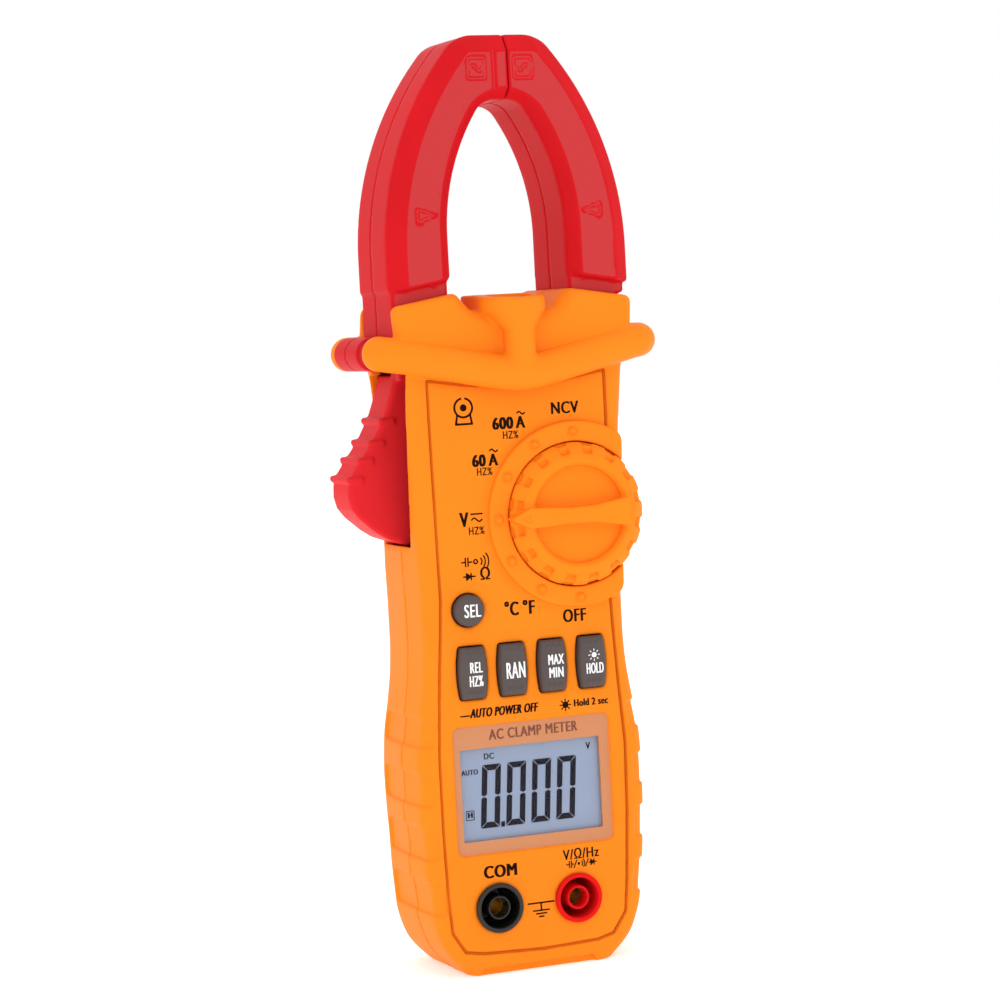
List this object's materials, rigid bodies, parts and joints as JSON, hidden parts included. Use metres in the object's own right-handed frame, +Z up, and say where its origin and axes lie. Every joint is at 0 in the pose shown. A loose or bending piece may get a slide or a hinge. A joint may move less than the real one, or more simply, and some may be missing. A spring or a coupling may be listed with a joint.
{
  "type": "clamp meter",
  "caption": "Handheld AC clamp meter with hinged red jaws opened by a side trigger, a rotary selector, push buttons, a display and test-lead sockets.",
  "frame": {"origin": "middle of the base, at the underside of the two feet, centred under the object's box", "axes": "+Z up along the length to the tips of the jaws, front panel and display face -Y, +X to the right seen from the front"},
  "size_m": [0.072, 0.0379, 0.2078],
  "materials": {
    "housing_orange": "satin moulded ABS",
    "jaw_red": "fine-textured moulded plastic",
    "trigger_red": "satin moulded plastic",
    "knob_orange": "satin moulded ABS",
    "key_grey": "satin rubber",
    "lens_clear": "clear gloss",
    "lcd_glass": "reflective display film",
    "frame_white": "satin",
    "zebra_rubber": "matte",
    "board_green": "solder mask",
    "component_black": "matte",
    "screw_steel": "zinc plated",
    "jack_black": "gloss",
    "jack_red": "gloss",
    "contact_brass": "plated",
    "cell_skin": "printed sleeve",
    "core_iron": "varnished laminations",
    "coil_copper": "enamelled wire",
    "rotor_white": "satin"
  },
  "bodies": {
    "case": {"front_cover": "housing_orange", "rear_cover": "housing_orange", "battery_door": "housing_orange", "battery_door_screw": "screw_steel", "case_screws": "screw_steel", "display_window": "lens_clear", "lcd_panel": "lcd_glass", "lcd_frame": "frame_white", "zebra_strips": "zebra_rubber", "main_pcb": "board_green", "pcb_screws": "screw_steel", "circuit_components": "component_black", "tact_switches": "component_black", "buzzer": "component_black", "com_socket": "jack_black", "volt_socket": "jack_red", "com_contact": "contact_brass", "volt_contact": "contact_brass", "batteries": "cell_skin", "battery_contacts": "screw_steel", "fixed_jaw_front": "jaw_red", "fixed_jaw_rear": "jaw_red", "fixed_core": "core_iron", "fixed_coil": "coil_copper", "pivot_pin": "screw_steel", "return_spring": "screw_steel"},
    "moving_jaw": {"moving_jaw_front": "jaw_red", "moving_jaw_rear": "jaw_red", "trigger_lever": "trigger_red", "moving_core": "core_iron", "moving_coil": "coil_copper"},
    "selector": {"selector_knob": "knob_orange", "switch_rotor": "rotor_white", "wiper_contacts": "contact_brass", "detent_balls": "screw_steel", "detent_springs": "screw_steel"},
    "sel_key": {"sel_button": "key_grey"},
    "rel_key": {"rel_button": "key_grey"},
    "range_key": {"range_button": "key_grey"},
    "maxmin_key": {"maxmin_button": "key_grey"},
    "hold_key": {"hold_button": "key_grey"}
  },
  "joints": [
    {"name": "jaw_hinge", "type": "hinge", "parent": "case", "child": "moving_jaw", "pos_m": [-0.0195, 0, 0.139], "axis": [0, -1, 0], "range_deg": [0, 20], "stiffness_Nm_per_rad": 0.8, "springref_deg": -28.65, "deforming": ["return_spring"]},
    {"name": "selector_turn", "type": "hinge", "parent": "case", "child": "selector", "pos_m": [0.0125, -0.012, 0.1011], "axis": [0, -1, 0], "range_deg": [-90, 90]},
    {"name": "sel_key_press", "type": "slide", "parent": "case", "child": "sel_key", "axis": [0, 1, 0], "range_m": [0, 0.001], "stiffness_N_per_m": 150, "springref_m": -0.002},
    {"name": "rel_key_press", "type": "slide", "parent": "case", "child": "rel_key", "axis": [0, 1, 0], "range_m": [0, 0.001], "stiffness_N_per_m": 150, "springref_m": -0.002},
    {"name": "range_key_press", "type": "slide", "parent": "case", "child": "range_key", "axis": [0, 1, 0], "range_m": [0, 0.001], "stiffness_N_per_m": 150, "springref_m": -0.002},
    {"name": "maxmin_key_press", "type": "slide", "parent": "case", "child": "maxmin_key", "axis": [0, 1, 0], "range_m": [0, 0.001], "stiffness_N_per_m": 150, "springref_m": -0.002},
    {"name": "hold_key_press", "type": "slide", "parent": "case", "child": "hold_key", "axis": [0, 1, 0], "range_m": [0, 0.001], "stiffness_N_per_m": 150, "springref_m": -0.002}
  ]
}
